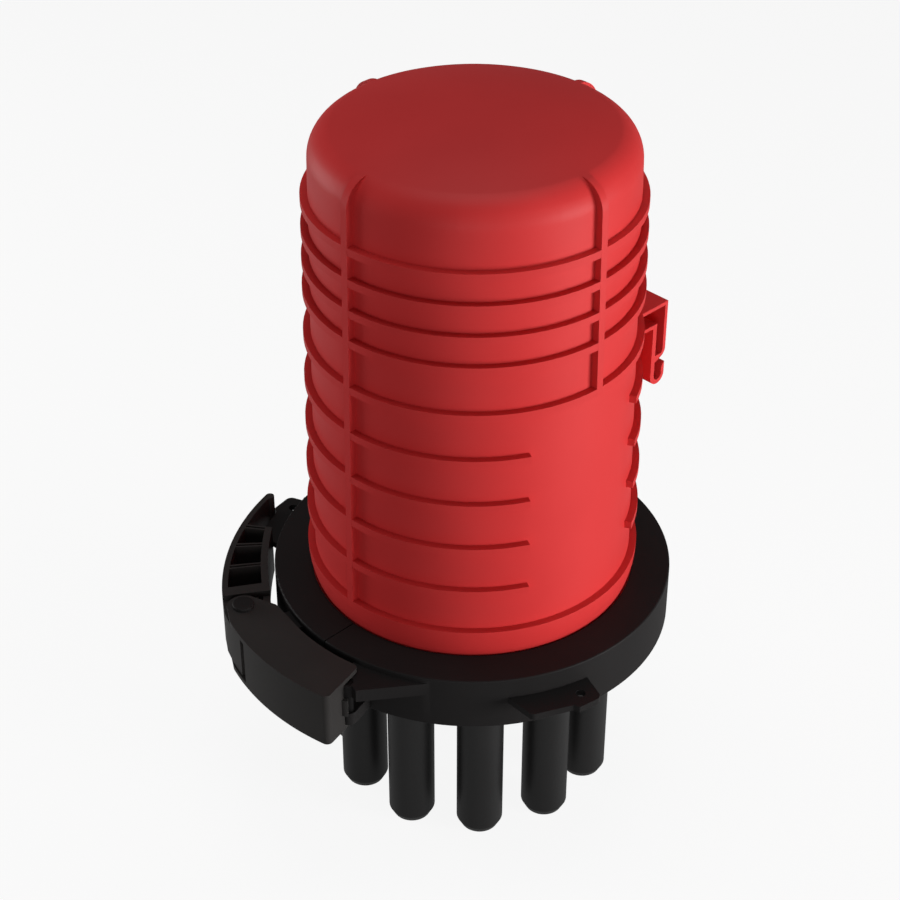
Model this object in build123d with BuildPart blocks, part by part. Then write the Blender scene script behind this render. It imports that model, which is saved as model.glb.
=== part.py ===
from build123d import *
import os
from math import atan2, cos, degrees, radians, sin, sqrt, tan

# Dome type fibre splice closure, standing on the closed ends of its cable ports.
# Millimetres. The origin lies on the dome axis, in the plane of the port ends, +Z is up the dome.
# Plan angles are measured from the front (-Y) towards the right (+X).

# Dome cover
DOME_WALL_R = 75.1
DOME_DRAFT = 0.018
DOME_WALL = 3.0
KNUCKLE_ABOVE_RING = 223.9
KNUCKLE_R = 14.3
CROWN_R = 250.0
RIB_HEIGHT = 3.5
RIB_THICK = 3.8
LOW_RIB_PITCH = 24.28
LOW_RIB_COUNT = 5
BEAD_ABOVE_RING = 15.1
HIGH_RIB_PITCH = 15.357
HIGH_RIB_COUNT = 4
VERTICAL_RIB_ANGLE = 44.1
RIB_ARC_R = 13.4
PANEL_HALF_ANGLE = 25.8
BEAD_OVER_OPENING = 1.4
BEAD_FACE = 1.5
FOOT_R = 39.6
FOOT_DROP = 2.0
FOOT_STEP = 1.5
FLANGE_GAP = 0.3

# Bracket ears on the back of the dome
EAR_OUTER = 51.0
EAR_DEPTH = 21.0
EAR_STAND_OFF = 5.2
EAR_STRIP = 1.9
EAR_INNER_SINK = 2.0
EAR_INNER_STRIP = 2.6
EAR_DROP_OUTER = 26.5
EAR_DROP_INNER = 10.0
EAR_HEIGHT = 45.0
EAR_CURL_R = 5.0

# Cable ports and base
PORT_R = 11.8
PORT_END_R = 9.6
PORT_CHAMFER = 4.4
PORT_WALL = 2.2
PORT_END_WALL = 3.0
PORT_EDGE = 12.16
PORT_COUNT = 9
PORT_PITCH = 33.0
PORT_MIDDLE_ANGLE = 3.66
OVAL_PITCH = 30.0
OVAL_R = 13.0
OVAL_EDGE = 16.1
BASE_FLOOR_BOTTOM = 90.0
BASE_FLOOR = 6.0

# Clamp ring
RING_BOTTOM = 97.45
RING_HEIGHT = 28.25
RING_WIDTH = 19.0
RING_WALL = 5.0
OPENING_OVER_DOME = 5.9
LIP_EDGE = 3.5
LIP_TAPER = 15.0
RING_EDGE_R = 0.8
SEAM_ANGLE = -45.5
SEAM_GAP = 0.6

# Seal and spigot
SEAL_WIDTH = 6.0
SEAL_HEIGHT = 4.6
SEAL_EDGE_R = 1.8
GROOVE_GAP = 0.2
SPIGOT_WALL = 3.0
SPIGOT_HEIGHT = 9.0
SPIGOT_GAP = 0.35

# Clamp hinge
HINGE_OFFSET = 8.5
HINGE_KNUCKLE_R = 6.5
HINGE_WEB = 17.0
HINGE_PIN_R = 3.0
HINGE_INSET = 0.8
HINGE_TOP_KNUCKLE = 7.5
AXIAL_GAP = 0.3
PIN_GAP = 0.05
PIN_CHAMFER = 0.3

# Wire lugs, angles counted from the seam
LUG_TOP_DROP = 10.7
LUG_THICK = 3.4
LUG_HOLE_R = 2.4
LUG_HOLE_ANGLE = 73.4
LUG_HOLE_OUT = 8.0
LUG_REACH = 14.0
LUG_STEP = 2.5
LUG_START = 53.9
LUG_SHOULDER = 59.3
LUG_NOTCH = 69.8
LUG_TIP = 70.8
LUG_CORNER = 77.1
LUG_END = 78.6
LUG_FILLETS = (3.0, 0.8, 0.8, 3.5)

# Catch pin on the front half and lever fulcrum on the rear half
GUSSET_THICK = 7.0
GUSSET_TIP_ANGLE = -12.4
GUSSET_NOSE = 3.3
GUSSET_HEEL = 4.0
CATCH_OUT = 12.8
CATCH_ANGLE = -31.6
CATCH_PIN_R = 2.5
CATCH_BOSS_R = 3.8
FULCRUM_OUT = 15.68
FULCRUM_ANGLE = -60.82
FULCRUM_PIN_R = 3.0
FULCRUM_BOSS_R = 6.0
FULCRUM_ROOT_START = 10.0
FULCRUM_ROOT_END = 18.5

# Latch block
BLOCK_OVER_RING = 1.75
BLOCK_PLATE = 2.6
BLOCK_WALL = 3.0
BLOCK_INNER_GAP = 3.7
BLOCK_WIDTH = 26.8
BLOCK_FRONT_ANGLE = -31.5
BLOCK_WALL_END_ANGLE = -58.0
BLOCK_HEEL_ANGLE = -58.7
BLOCK_KNEE_ANGLE = -66.28
BLOCK_KNEE_OUT = 5.4
BLOCK_TAIL_ANGLE = -64.5
BLOCK_CORNER_R = 3.0
CLAW_GAP = 0.35
CLAW_THICK = 3.2
CLAW_WRAP = 30.0
CLAW_BACK_WRAP = 70.0
BLOCK_PIN_OUT = 20.62
BLOCK_PIN_ANGLE = -68.86
BLOCK_PIN_R = 4.0
BLOCK_PIN_HEAD_R = 5.4
BLOCK_PIN_HEAD = 2.0
PIN_HEAD_EDGE = 0.8
BLOCK_BOSS_R = 8.2
CLIP_THICK = 1.0
CLIP_R = 6.6

# Latch lever, its long arcs about a centre of their own
LEVER_UNDER_BLOCK = 2.0
LEVER_ARC_X = 10.7
LEVER_ARC_Y = -16.1
LEVER_OUT = 35.7
LEVER_WALL = 3.0
LEVER_INNER_WALL = 3.6
LEVER_TIP_ANGLE = 151.2
LEVER_TIP_R = 2.3
LEVER_BAR_ANGLE = 188.4
LEVER_BAR = 6.4
LEVER_RIB = 1.1
LEVER_RIB_PITCH = 2.3
LEVER_RIB_ANGLES = (178.6, 170.9, 163.6)
LEVER_RIB_TILTS = (1.7, 2.2, 1.0)
LEVER_WEB = 2.4
LEVER_HUB_R = 7.4
LEVER_HUB_GAP = 0.7
LEVER_SKIN_SETBACK = 0.6
LEVER_SKIN = 2.6
LEVER_SKIN_END = -60.2
LEVER_SKIN_START = -69.3
LEVER_LEG = 4.2
LEVER_LEG_LENGTH = 15.0
INNER_WALL_LOW = -72.7
INNER_WALL_HIGH = -101.2
INNER_WALL_OUT = 5.0
INNER_WALL_DIP = 3.4
RIB_LENGTH = 20.0
RIB_TRIM = 8.0

# Trays and carrier inside the dome
TRAY_COUNT = 4
TRAY_MARGIN = 4.0
TRAY_TOP_GAP = 9.3
TRAY_DEPTH = 7.2
TRAY_PITCH = 7.8
TRAY_FLOOR = 1.4
TRAY_CORNER_R = 22.0
TRAY_BOTTOM_GAP = 16.0
GUIDE_FROM_EDGE = 42.0
HINGE_ROD_R = 1.5
HINGE_ROD_DROP = 5.0
ROD_BOSS = 4.0
TRAY_EAR_BOSS = 3.0
CHEEK_SPACING = 64.8
CHEEK = 3.0
CARRIER_BACK = 3.0
CARRIER_Y = 6.0
CARRIER_RIM = 10.0
CARRIER_WAIST = 12.0
CARRIER_CLEARANCE = 4.0
CARRIER_FOOT_WIDTH = 84.0
CARRIER_FOOT_DEPTH = 40.0
CARRIER_FOOT = 4.0
CARRIER_FOOT_CORNER = 5.0
CARRIER_TOP_GAP = 10.0
WINDOW_PITCH = 34.0
WINDOW_WIDTH = 16.0
SCREW_PITCH_X = 44.0
SCREW_PITCH_Y = 26.0
SPLICES_PER_TRAY = 6
SLEEVE_R = 1.2
SLEEVE_LENGTH = 60.0
SLEEVE_PITCH = 4.8
COMB_FROM_EDGE = 72.0
COMB_HEIGHT = 24.0
COMB_DEPTH = 3.4
COVER_THICK = 1.2
BASKET_DEPTH = 24.0
BASKET_WALL = 1.6
BASKET_INSET = 14.0
STRAP_THICK = 1.2
STRAP_WIDTH = 16.0
STRAP_FROM_TOP = 42.0
REST_GAP = 0.1

# Clamps for the strength members of the cables
MEMBER_CLAMP_IN = 20.0
MEMBER_CLAMP_ANGLES = (0, 38, -38, 180, 142, -142)
MEMBER_CLAMP_WIDTH = 13.0
MEMBER_CLAMP_DEPTH = 10.0
MEMBER_CLAMP_HEIGHT = 8.0
MEMBER_GROOVE_R = 1.2
MEMBER_GROOVE_SPACING = 8.4
SCREW_R = 2.0
SCREW_DEPTH = 4.0
SCREW_HEAD_R = 3.6
SCREW_HEAD = 2.4
SCREW_HEAD_EDGE = 0.9

# Clamp ring worked out from the dome
RING_TOP = RING_BOTTOM + RING_HEIGHT
JOINT_Z = RING_BOTTOM + RING_HEIGHT / 2
RING_OPENING_R = DOME_WALL_R + OPENING_OVER_DOME
RING_R = RING_OPENING_R + RING_WIDTH
RING_ROOT_R = RING_R - RING_WALL / 2
LIP_SLOPE = tan(radians(LIP_TAPER))
FLANGE_DROP = LIP_EDGE + FLANGE_GAP / cos(radians(LIP_TAPER))
FLANGE_R = RING_R - RING_WALL - FLANGE_GAP
COLLAR_R = RING_OPENING_R - FLANGE_GAP
SEAL_R = (COLLAR_R + FLANGE_R) / 2
HINGE_ANGLE = SEAM_ANGLE + 180
HINGE_R = RING_R + HINGE_OFFSET

# Dome heights
KNUCKLE_Z = RING_TOP + KNUCKLE_ABOVE_RING
CROWN_Z = KNUCKLE_Z - sqrt((CROWN_R - KNUCKLE_R) ** 2 - (DOME_WALL_R - KNUCKLE_R) ** 2)
CROWN_ANGLE = degrees(atan2(KNUCKLE_Z - CROWN_Z, DOME_WALL_R - KNUCKLE_R))
BEAD_TOP = RING_TOP + BEAD_ABOVE_RING
BEAD_R = RING_OPENING_R + BEAD_OVER_OPENING
EAR_BACK_R = DOME_WALL_R + EAR_STAND_OFF
EAR_INNER_R = DOME_WALL_R - EAR_INNER_SINK
FLOOR_TOP = BASE_FLOOR_BOTTOM + BASE_FLOOR

# Latch levels, from the block's plates inwards
BLOCK_HEIGHT = RING_HEIGHT + BLOCK_OVER_RING
BLOCK_BOTTOM = RING_TOP - BLOCK_HEIGHT
BLOCK_INNER_R = RING_R + BLOCK_INNER_GAP
BLOCK_OUTER_R = BLOCK_INNER_R + BLOCK_WIDTH
UPPER_GUSSET_Z = RING_TOP - BLOCK_PLATE - AXIAL_GAP - GUSSET_THICK
LOWER_GUSSET_Z = BLOCK_BOTTOM + BLOCK_PLATE + AXIAL_GAP
MIDDLE_Z = LOWER_GUSSET_Z + GUSSET_THICK + AXIAL_GAP
MIDDLE_HEIGHT = UPPER_GUSSET_Z - AXIAL_GAP - MIDDLE_Z
LEVER_ARC = (LEVER_ARC_X, LEVER_ARC_Y)
LEVER_ARC_R = RING_R + LEVER_OUT
LEVER_HEIGHT = BLOCK_HEIGHT - LEVER_UNDER_BLOCK


# A plan point at an angle and a radius from the dome axis
def polar(angle, radius):
    return (radius * sin(radians(angle)), -radius * cos(radians(angle)))


# A plan point at an ordinary angle about any centre
def about(centre, angle, radius):
    return (centre[0] + radius * cos(radians(angle)), centre[1] + radius * sin(radians(angle)))


# The upright plane through the dome axis whose x runs outwards at a plan angle
def radial_plane(angle):
    turn = radians(angle)
    return Plane(origin=(0, 0, 0), x_dir=(sin(turn), -cos(turn), 0), z_dir=(-cos(turn), -sin(turn), 0))


# Outside radius of the drafted dome wall at a height
def wall_radius(height):
    return DOME_WALL_R + DOME_DRAFT * (KNUCKLE_Z - height)


# Latch pivots and the places of what is screwed to the floor
CATCH = polar(CATCH_ANGLE, RING_R + CATCH_OUT)
FULCRUM = polar(FULCRUM_ANGLE, RING_R + FULCRUM_OUT)
BLOCK_PIN = polar(BLOCK_PIN_ANGLE, RING_R + BLOCK_PIN_OUT)
INSIDE_R = wall_radius(JOINT_Z) - DOME_WALL
PORT_CIRCLE_R = DOME_WALL_R - PORT_EDGE
SCREW_SPOTS = [(x * SCREW_PITCH_X, y * SCREW_PITCH_Y) for x in (-0.5, 0.5) for y in (-0.5, 0.5)]
CLAMP_SPOTS = [polar(angle, PORT_CIRCLE_R - MEMBER_CLAMP_IN) for angle in MEMBER_CLAMP_ANGLES]


def save(builder, label):
    builder.part.label = label
    export_step(builder.part, f"parts/{label}.step")
    print(label, len(builder.part.solids()), round(builder.part.volume))


os.makedirs("parts", exist_ok=True)


# Dome cover: shell, ribs, bead, collar, flange and bracket ears in one moulding
def dome_outline(inset):
    wall = DOME_WALL_R - inset
    knuckle = KNUCKLE_R - inset
    crown = CROWN_R - inset
    centre = (DOME_WALL_R - KNUCKLE_R, KNUCKLE_Z)
    tangent = about(centre, CROWN_ANGLE, knuckle)
    halfway = about(centre, CROWN_ANGLE / 2, knuckle)
    side = (90 + CROWN_ANGLE) / 2
    return wall, halfway, tangent, about((0, CROWN_Z), side, crown), (0, CROWN_Z + crown)


with BuildPart() as dome_cover:
    with BuildSketch(Plane.XZ):
        with BuildLine():
            wall, halfway, tangent, crown_side, crown_top = dome_outline(0)
            foot_end = (COLLAR_R - FOOT_STEP, RING_TOP - FOOT_DROP)
            flange_top = RING_TOP - FLANGE_DROP - (FLANGE_R - RING_OPENING_R) * LIP_SLOPE
            bead_low = BEAD_TOP - BEAD_FACE
            ThreePointArc(crown_top, crown_side, tangent)
            ThreePointArc(tangent, halfway, (wall, KNUCKLE_Z))
            bead_root = (wall_radius(BEAD_TOP), BEAD_TOP)
            Polyline((wall, KNUCKLE_Z), bead_root, (BEAD_R, BEAD_TOP), (BEAD_R, bead_low))
            RadiusArc((BEAD_R, bead_low), foot_end, FOOT_R)
            Polyline(
                foot_end,
                (COLLAR_R, RING_TOP - FOOT_DROP),
                (COLLAR_R, RING_TOP - FLANGE_DROP),
                (FLANGE_R, flange_top),
                (FLANGE_R, JOINT_Z),
                (INSIDE_R, JOINT_Z),
            )
            wall, halfway, tangent, crown_side, crown_in = dome_outline(DOME_WALL)
            Line((INSIDE_R, JOINT_Z), (wall, KNUCKLE_Z))
            ThreePointArc((wall, KNUCKLE_Z), halfway, tangent)
            ThreePointArc(tangent, crown_side, crown_in)
            Line(crown_in, crown_top)
        make_face()
    revolve(axis=Axis.Z)
    # Horizontal ribs: wide pitch below, narrow pitch above, the low ones broken off at the blank panel
    rib_tops = [BEAD_TOP + LOW_RIB_PITCH * step for step in range(1, LOW_RIB_COUNT + 1)]
    panel_top = rib_tops[-1] - RIB_THICK
    high_start = rib_tops[-1] + LOW_RIB_PITCH
    rib_tops += [high_start + HIGH_RIB_PITCH * step for step in range(HIGH_RIB_COUNT)]
    broken = rib_tops[: LOW_RIB_COUNT - 1]
    whole = rib_tops[LOW_RIB_COUNT - 1 :]
    for tops, sweep in ((broken, 360 - 2 * PANEL_HALF_ANGLE), (whole, 360)):
        with BuildSketch(radial_plane(VERTICAL_RIB_ANGLE + PANEL_HALF_ANGLE)):
            for top in tops:
                foot = wall_radius(top) - DOME_WALL / 2
                tip = wall_radius(top) + RIB_HEIGHT
                low = top - RIB_THICK
                with BuildLine():
                    Polyline((foot, top), (tip, top), (tip, low), (foot, low), close=True)
                make_face()
        revolve(axis=Axis.Z, revolution_arc=sweep)
    # Vertical ribs that fade into the crown, the right front one only above the panel
    for turn in range(4):
        angle = VERTICAL_RIB_ANGLE + 90 * turn
        rib_low = panel_top if turn == 0 else BEAD_TOP - RIB_THICK
        tip_low = wall_radius(rib_low) + RIB_HEIGHT
        tip_high = wall_radius(KNUCKLE_Z) + RIB_HEIGHT
        arc_centre = (tip_high - RIB_ARC_R, KNUCKLE_Z)
        with BuildSketch(radial_plane(angle)):
            with BuildLine():
                arc_end = about(arc_centre, 90, RIB_ARC_R)
                root = DOME_WALL_R - KNUCKLE_R
                Polyline(
                    arc_end,
                    (root, arc_end[1]),
                    (root, KNUCKLE_Z),
                    (DOME_WALL_R - DOME_WALL / 2, KNUCKLE_Z),
                    (wall_radius(rib_low) - DOME_WALL / 2, rib_low),
                    (tip_low, rib_low),
                    (tip_high, KNUCKLE_Z),
                )
                ThreePointArc((tip_high, KNUCKLE_Z), about(arc_centre, 45, RIB_ARC_R), arc_end)
            make_face()
        extrude(amount=RIB_THICK / 2, both=True)
    # Two bracket ears at the back, each a folded strip across the tangent of the vertical rib
    ear_angle = VERTICAL_RIB_ANGLE + 90
    ear_top = rib_tops[LOW_RIB_COUNT - 1]
    lip_z = ear_top - EAR_DROP_OUTER - EAR_STRIP
    shelf = ear_top - EAR_DROP_INNER
    inner_face = EAR_INNER_R - EAR_INNER_STRIP
    curl_tip = EAR_BACK_R - 1.5 * EAR_STRIP
    back_in = EAR_BACK_R - EAR_STRIP
    cup_r = (EAR_BACK_R - inner_face) / 2
    cup_z = ear_top - EAR_HEIGHT + cup_r
    for side in (-1, 1):
        with BuildSketch(radial_plane(ear_angle).offset(side * (EAR_OUTER - EAR_DEPTH))):
            # Outer strip from the shelf over the back and down to its inward curl
            with BuildLine():
                Polyline((0, ear_top), (EAR_BACK_R, ear_top), (EAR_BACK_R, lip_z + EAR_STRIP))
                RadiusArc((EAR_BACK_R, lip_z + EAR_STRIP), (curl_tip, lip_z - EAR_STRIP), EAR_CURL_R)
                Polyline(
                    (curl_tip, lip_z - EAR_STRIP),
                    (EAR_INNER_R, lip_z - 2 * EAR_STRIP),
                    (EAR_INNER_R, lip_z),
                    (curl_tip, lip_z),
                    (back_in, lip_z + EAR_STRIP),
                    (back_in, ear_top - EAR_STRIP),
                    (0, ear_top - EAR_STRIP),
                    (0, ear_top),
                )
            make_face()
            # Inner strip down the wall and round the open cup below
            with BuildLine():
                Polyline((EAR_INNER_R, cup_z), (EAR_INNER_R, shelf), (0, shelf), (0, shelf - EAR_STRIP))
                Polyline((0, shelf - EAR_STRIP), (inner_face, shelf - EAR_STRIP), (inner_face, cup_z))
                ThreePointArc((inner_face, cup_z), (EAR_BACK_R - cup_r, cup_z - cup_r), (EAR_BACK_R, cup_z))
                Polyline(
                    (EAR_BACK_R, cup_z),
                    (EAR_BACK_R, lip_z - 3 * EAR_STRIP),
                    (back_in, lip_z - 4 * EAR_STRIP),
                    (back_in, cup_z),
                )
                cup_in = (back_in - EAR_INNER_R) / 2
                ThreePointArc((back_in, cup_z), (back_in - cup_in, cup_z - cup_in), (EAR_INNER_R, cup_z))
            make_face()
        extrude(amount=side * EAR_DEPTH)
    # The ears stop at the wall, so the inside is cut clear again
    with BuildSketch(Plane.XZ):
        with BuildLine():
            top_r = DOME_WALL_R - DOME_WALL
            Polyline((0, JOINT_Z), (INSIDE_R, JOINT_Z), (top_r, KNUCKLE_Z), (0, KNUCKLE_Z), close=True)
        make_face()
    revolve(axis=Axis.Z, mode=Mode.SUBTRACT)
save(dome_cover, "dome_cover")


# Base: floor, spigot, grooved flange and closed port tubes in one moulding
with BuildPart() as base_body:
    with BuildSketch(Plane.XZ):
        with BuildLine():
            spigot_r = INSIDE_R - SPIGOT_GAP
            flange_low = RING_BOTTOM + FLANGE_DROP + (FLANGE_R - RING_OPENING_R) * LIP_SLOPE
            seal_in = SEAL_R - SEAL_WIDTH / 2 - GROOVE_GAP
            seal_out = SEAL_R + SEAL_WIDTH / 2 + GROOVE_GAP
            Polyline(
                (0, BASE_FLOOR_BOTTOM),
                (COLLAR_R, BASE_FLOOR_BOTTOM),
                (COLLAR_R, RING_BOTTOM + FLANGE_DROP),
                (FLANGE_R, flange_low),
                (FLANGE_R, JOINT_Z),
                (seal_out, JOINT_Z),
                (seal_out, JOINT_Z - SEAL_HEIGHT),
                (seal_in, JOINT_Z - SEAL_HEIGHT),
                (seal_in, JOINT_Z),
                (spigot_r, JOINT_Z),
                (spigot_r, JOINT_Z + SPIGOT_HEIGHT),
                (spigot_r - SPIGOT_WALL, JOINT_Z + SPIGOT_HEIGHT),
                (spigot_r - SPIGOT_WALL, FLOOR_TOP),
                (0, FLOOR_TOP),
                close=True,
            )
        make_face()
    revolve(axis=Axis.Z)
    first_port = PORT_MIDDLE_ANGLE - PORT_PITCH * (PORT_COUNT - 1) / 2
    port_spots = [polar(first_port + PORT_PITCH * step, PORT_CIRCLE_R) for step in range(PORT_COUNT)]
    with BuildSketch(Plane.XY.offset(PORT_CHAMFER)):
        with Locations(*port_spots):
            Circle(PORT_R)
    extrude(amount=BASE_FLOOR_BOTTOM + BASE_FLOOR / 2 - PORT_CHAMFER)
    with Locations(*[(spot[0], spot[1], PORT_CHAMFER / 2) for spot in port_spots]):
        Cone(PORT_END_R, PORT_R, PORT_CHAMFER)
    # Oval port at the back for a cable that is looped through uncut
    oval_angle = PORT_MIDDLE_ANGLE + 180
    oval_centre = polar(oval_angle, DOME_WALL_R - OVAL_EDGE)
    oval_plane = Plane(origin=(*oval_centre, 0), x_dir=(*polar(oval_angle + 90, 1), 0))
    with BuildSketch(oval_plane.offset(PORT_CHAMFER)):
        SlotCenterToCenter(OVAL_PITCH, 2 * OVAL_R)
    extrude(amount=BASE_FLOOR_BOTTOM + BASE_FLOOR / 2 - PORT_CHAMFER)
    with BuildSketch(oval_plane):
        SlotCenterToCenter(OVAL_PITCH, 2 * (OVAL_R - PORT_R + PORT_END_R))
    with BuildSketch(oval_plane.offset(PORT_CHAMFER)):
        SlotCenterToCenter(OVAL_PITCH, 2 * OVAL_R)
    loft()
    # Bores open to the inside only
    with BuildSketch(Plane.XY.offset(PORT_END_WALL)):
        with Locations(*port_spots):
            Circle(PORT_R - PORT_WALL)
    extrude(amount=FLOOR_TOP, mode=Mode.SUBTRACT)
    with BuildSketch(oval_plane.offset(PORT_END_WALL)):
        SlotCenterToCenter(OVAL_PITCH, 2 * (OVAL_R - PORT_WALL))
    extrude(amount=FLOOR_TOP, mode=Mode.SUBTRACT)
    # Blind screw holes in the floor
    with BuildSketch(Plane.XY.offset(FLOOR_TOP - SCREW_DEPTH)):
        with Locations(*SCREW_SPOTS, *CLAMP_SPOTS):
            Circle(SCREW_R + PIN_GAP)
    extrude(amount=SCREW_DEPTH, mode=Mode.SUBTRACT)
save(base_body, "base_body")


# Seal, squeezed into the flange groove under the dome
with BuildPart() as sealing_ring:
    with BuildSketch(Plane.XZ):
        with Locations((SEAL_R, JOINT_Z - SEAL_HEIGHT / 2)):
            RectangleRounded(SEAL_WIDTH, SEAL_HEIGHT, SEAL_EDGE_R)
    revolve(axis=Axis.Z)
save(sealing_ring, "sealing_ring")


# Plan outline of a wire lug, mirrored by side about the seam
def lug_points(side):
    shape = [
        (LUG_START, RING_ROOT_R),
        (LUG_SHOULDER, RING_R + LUG_REACH),
        (LUG_NOTCH, RING_R + LUG_REACH),
        (LUG_TIP, RING_R + LUG_REACH + LUG_STEP),
        (LUG_CORNER, RING_R + LUG_REACH + LUG_STEP / 2),
        (LUG_END, RING_ROOT_R),
    ]
    return [polar(SEAM_ANGLE + side * turn, radius) for turn, radius in shape]


# Plan outline of the front gusset, which runs along the ring and ends round the catch pin
def catch_outline():
    return [
        polar(GUSSET_TIP_ANGLE, RING_ROOT_R),
        polar(GUSSET_TIP_ANGLE, RING_R),
        polar(CATCH_ANGLE + GUSSET_NOSE, RING_R + CATCH_OUT + CATCH_BOSS_R),
        polar(CATCH_ANGLE, RING_R + CATCH_OUT),
        polar(CATCH_ANGLE - GUSSET_HEEL, RING_ROOT_R),
    ]


# Plan outline of the short lug under it, which holds the lower end of the catch pin
def catch_lug():
    half = degrees(CATCH_BOSS_R / (RING_R + CATCH_OUT))
    return [
        polar(CATCH_ANGLE + half, RING_ROOT_R),
        polar(CATCH_ANGLE + half, RING_R + CATCH_OUT),
        polar(CATCH_ANGLE - half, RING_R + CATCH_OUT),
        polar(CATCH_ANGLE - GUSSET_HEEL, RING_ROOT_R),
    ]


# Plan outline of the rear gussets, from the ring out to the lever fulcrum
def fulcrum_outline():
    away = degrees(atan2(FULCRUM[1], FULCRUM[0]))
    return [
        polar(SEAM_ANGLE - FULCRUM_ROOT_START, RING_ROOT_R),
        about(FULCRUM, away + 90, FULCRUM_BOSS_R),
        about(FULCRUM, away - 90, FULCRUM_BOSS_R),
        polar(SEAM_ANGLE - FULCRUM_ROOT_END, RING_ROOT_R),
    ]


# One clamp half: channel section swept half way round, with its lug, gussets and hinge knuckles
def clamp_half(side):
    lip_in = LIP_EDGE + (RING_WIDTH - RING_WALL) * LIP_SLOPE
    hinge = polar(HINGE_ANGLE, HINGE_R)
    hinge_plane = Plane(origin=(0, 0, 0), x_dir=(*polar(HINGE_ANGLE, 1), 0))
    knuckle_low = RING_BOTTOM + HINGE_INSET
    knuckle_high = RING_TOP - HINGE_INSET
    low_knuckle = (knuckle_low, knuckle_low + HINGE_TOP_KNUCKLE)
    high_knuckle = (knuckle_high - HINGE_TOP_KNUCKLE, knuckle_high)
    if side > 0:
        start = SEAM_ANGLE
        spans = [(low_knuckle[1] + AXIAL_GAP, high_knuckle[0] - AXIAL_GAP)]
        outlines = (catch_outline(), catch_lug())
        boss, boss_r, bore_r = CATCH, CATCH_BOSS_R, CATCH_PIN_R + PIN_GAP
    else:
        start = HINGE_ANGLE
        spans = [low_knuckle, high_knuckle]
        outlines = (fulcrum_outline(), fulcrum_outline())
        boss, boss_r, bore_r = FULCRUM, FULCRUM_BOSS_R, FULCRUM_PIN_R + PIN_GAP
    with BuildPart() as half:
        with BuildSketch(radial_plane(start)) as channel:
            with BuildLine():
                Polyline(
                    (RING_OPENING_R, RING_BOTTOM),
                    (RING_R, RING_BOTTOM),
                    (RING_R, RING_TOP),
                    (RING_OPENING_R, RING_TOP),
                    (RING_OPENING_R, RING_TOP - LIP_EDGE),
                    (RING_R - RING_WALL, RING_TOP - lip_in),
                    (RING_R - RING_WALL, RING_BOTTOM + lip_in),
                    (RING_OPENING_R, RING_BOTTOM + LIP_EDGE),
                    close=True,
                )
            make_face()
            fillet(channel.vertices().group_by(Axis.X)[-1], RING_EDGE_R)
        revolve(axis=Axis.Z, revolution_arc=180)
        with BuildSketch(hinge_plane.offset(RING_BOTTOM)):
            Rectangle(3 * RING_R, SEAM_GAP)
        extrude(amount=RING_HEIGHT, mode=Mode.SUBTRACT)
        # Hinge knuckles and the webs that carry them
        for low, high in spans:
            with BuildSketch(hinge_plane.offset(low)):
                with BuildLine():
                    Polyline(
                        (RING_ROOT_R, -side * SEAM_GAP / 2),
                        (HINGE_R, -side * SEAM_GAP / 2),
                        (HINGE_R, -side * HINGE_KNUCKLE_R),
                        (RING_ROOT_R, -side * HINGE_WEB),
                        close=True,
                    )
                make_face()
                with Locations((HINGE_R, 0)):
                    Circle(HINGE_KNUCKLE_R)
            extrude(amount=high - low)
        with BuildSketch(Plane.XY.offset(RING_BOTTOM)):
            with Locations(hinge):
                Circle(HINGE_PIN_R + PIN_GAP)
        extrude(amount=RING_HEIGHT, mode=Mode.SUBTRACT)
        # Wire lug
        with BuildSketch(Plane.XY.offset(RING_TOP - LUG_TOP_DROP - LUG_THICK)):
            points = lug_points(side)
            with BuildLine():
                FilletPolyline(*points, radius=LUG_FILLETS)
                Line(points[-1], points[0])
            make_face()
            with Locations(polar(SEAM_ANGLE + side * LUG_HOLE_ANGLE, RING_R + LUG_HOLE_OUT)):
                Circle(LUG_HOLE_R, mode=Mode.SUBTRACT)
        extrude(amount=LUG_THICK)
        # Gussets in two levels, round the catch pin in front and the lever fulcrum at the rear
        for level, outline in zip((UPPER_GUSSET_Z, LOWER_GUSSET_Z), outlines):
            with BuildSketch(Plane.XY.offset(level)):
                with BuildLine():
                    Polyline(*outline, close=True)
                make_face()
                with Locations(boss):
                    Circle(boss_r)
                    Circle(bore_r, mode=Mode.SUBTRACT)
            extrude(amount=GUSSET_THICK)
    return half


clamp_half_front = clamp_half(1)
save(clamp_half_front, "clamp_half_front")
clamp_half_rear = clamp_half(-1)
save(clamp_half_rear, "clamp_half_rear")


# Plain headless pins
def plain_pin(label, centre, radius, low, high):
    with BuildPart() as pin:
        with BuildSketch(Plane.XY.offset(low)):
            with Locations(centre):
                Circle(radius)
        extrude(amount=high - low)
        chamfer(pin.edges().filter_by(GeomType.CIRCLE), PIN_CHAMFER)
    save(pin, label)


HINGE = polar(HINGE_ANGLE, HINGE_R)
plain_pin("clamp_hinge_pin", HINGE, HINGE_PIN_R, RING_BOTTOM + HINGE_INSET, RING_TOP - HINGE_INSET)
plain_pin("catch_pin", CATCH, CATCH_PIN_R, LOWER_GUSSET_Z, UPPER_GUSSET_Z + GUSSET_THICK)
plain_pin("fulcrum_pin", FULCRUM, FULCRUM_PIN_R, LOWER_GUSSET_Z, UPPER_GUSSET_Z + GUSSET_THICK)


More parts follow.
